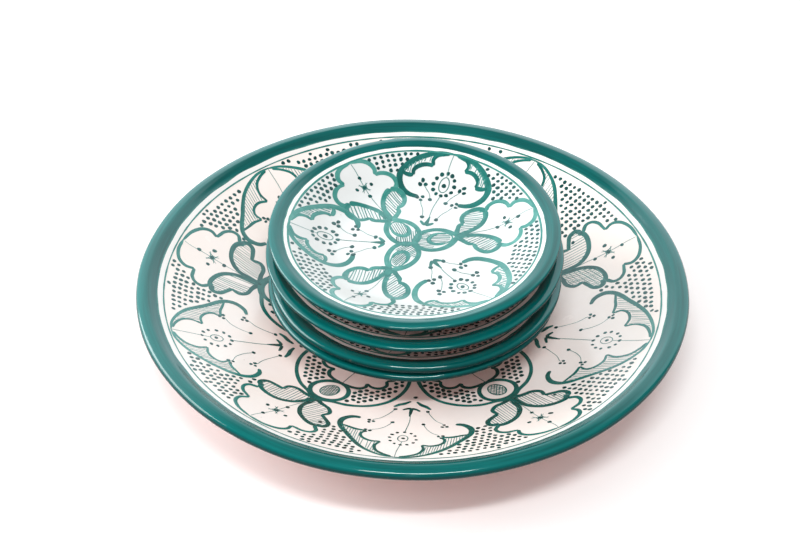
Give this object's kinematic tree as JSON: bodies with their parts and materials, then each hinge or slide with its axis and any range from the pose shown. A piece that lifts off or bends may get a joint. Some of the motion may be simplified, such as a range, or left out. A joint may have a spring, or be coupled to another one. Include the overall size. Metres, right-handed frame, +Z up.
{
  "type": "hand painted ceramic plate set",
  "caption": "Hand painted glazed ceramic serving platter with a stack of matching small plates resting in its well, each free to lift off the one below.",
  "frame": {"origin": "centre of the platter's foot ring, on the table", "axes": "+Z up through the plates, +X to the right, -Y towards the front, where the small plates lean"},
  "size_m": [0.35, 0.35, 0.0943],
  "materials": {
    "platter_glaze": "glossy",
    "bottom_glaze": "glossy",
    "lower_glaze": "glossy",
    "upper_glaze": "glossy",
    "top_glaze": "glossy"
  },
  "bodies": {
    "platter": {"serving_platter": "platter_glaze"},
    "bottom_plate": {"small_plate_bottom": "bottom_glaze"},
    "lower_plate": {"small_plate_lower": "lower_glaze"},
    "upper_plate": {"small_plate_upper": "upper_glaze"},
    "top_plate": {"small_plate_top": "top_glaze"}
  },
  "joints": [
    {"name": "bottom_plate_lift", "type": "slide", "parent": "platter", "child": "bottom_plate", "axis": [0, 0, 1], "range_m": [0, 0.08]},
    {"name": "lower_plate_lift", "type": "slide", "parent": "bottom_plate", "child": "lower_plate", "axis": [0, 0, 1], "range_m": [0, 0.08]},
    {"name": "upper_plate_lift", "type": "slide", "parent": "lower_plate", "child": "upper_plate", "axis": [0, 0, 1], "range_m": [0, 0.08]},
    {"name": "top_plate_lift", "type": "slide", "parent": "upper_plate", "child": "top_plate", "axis": [0, 0, 1], "range_m": [0, 0.08]}
  ]
}
